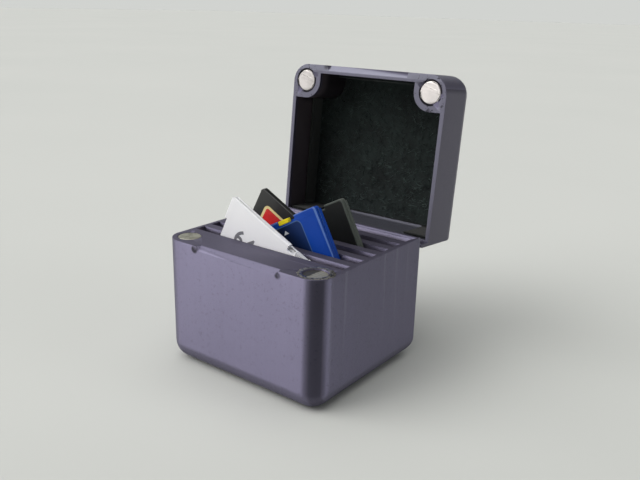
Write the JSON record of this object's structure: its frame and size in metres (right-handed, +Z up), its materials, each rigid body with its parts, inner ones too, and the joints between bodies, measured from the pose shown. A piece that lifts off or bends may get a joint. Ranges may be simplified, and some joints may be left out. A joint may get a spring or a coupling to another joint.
{
  "type": "memory card case",
  "caption": "Hinged box with a felt-lined magnetic lid, holding memory cards on edge, each leaning in its own slot.",
  "frame": {"origin": "centre of the base's flat bottom face", "axes": "+X to the case's right, +Y to the rear where the hinge is, +Z up; the lid rests open"},
  "size_m": [0.05, 0.0672, 0.0743],
  "materials": {
    "case_plastic": "satin layered",
    "magnet": "plated, lightly worn",
    "steel": "plain",
    "felt": "felted",
    "board": "solder mask",
    "contact_gold": "gold plated",
    "white_shell": "smooth",
    "blue_shell": "smooth",
    "black_shell": "smooth",
    "grey_shell": "fine grain",
    "white_tab": "smooth",
    "blue_tab": "smooth",
    "black_tab": "smooth",
    "grey_tab": "smooth",
    "white_label": "printed",
    "blue_label": "printed",
    "black_label": "printed",
    "grey_label": "printed"
  },
  "bodies": {
    "root": {"base_body": "case_plastic", "base_magnet_left": "magnet", "base_magnet_right": "magnet", "hinge_pin": "steel", "white_card_front": "white_shell", "white_card_back": "white_shell", "white_card_board": "board", "white_card_contacts": "contact_gold", "white_card_label": "white_label", "blue_card_front": "blue_shell", "blue_card_back": "blue_shell", "blue_card_board": "board", "blue_card_contacts": "contact_gold", "blue_card_label": "blue_label", "black_card_front": "black_shell", "black_card_back": "black_shell", "black_card_board": "board", "black_card_contacts": "contact_gold", "black_card_label": "black_label", "grey_card_front": "grey_shell", "grey_card_back": "grey_shell", "grey_card_board": "board", "grey_card_contacts": "contact_gold", "grey_card_label": "grey_label"},
    "lid": {"lid_body": "case_plastic", "lid_felt": "felt", "lid_magnet_left": "magnet", "lid_magnet_right": "magnet"},
    "white_lock": {"white_card_lock": "white_tab"},
    "blue_lock": {"blue_card_lock": "blue_tab"},
    "black_lock": {"black_card_lock": "black_tab"},
    "grey_lock": {"grey_card_lock": "grey_tab"}
  },
  "joints": [
    {"name": "lid_hinge", "type": "hinge", "parent": "root", "child": "lid", "pos_m": [0, 0.0229, 0.0303], "axis": [1, 0, 0], "range_deg": [0, 95.4]},
    {"name": "white_lock_slide", "type": "slide", "parent": "root", "child": "white_lock", "axis": [0.9055, 0, -0.4243], "range_m": [-0.0023, 0]},
    {"name": "blue_lock_slide", "type": "slide", "parent": "root", "child": "blue_lock", "axis": [0.8682, 0, 0.4963], "range_m": [0, 0.0023]},
    {"name": "black_lock_slide", "type": "slide", "parent": "root", "child": "black_lock", "axis": [0.8804, 0, -0.4742], "range_m": [-0.0023, 0]},
    {"name": "grey_lock_slide", "type": "slide", "parent": "root", "child": "grey_lock", "axis": [0.8891, 0, 0.4578], "range_m": [0, 0.0023]}
  ]
}
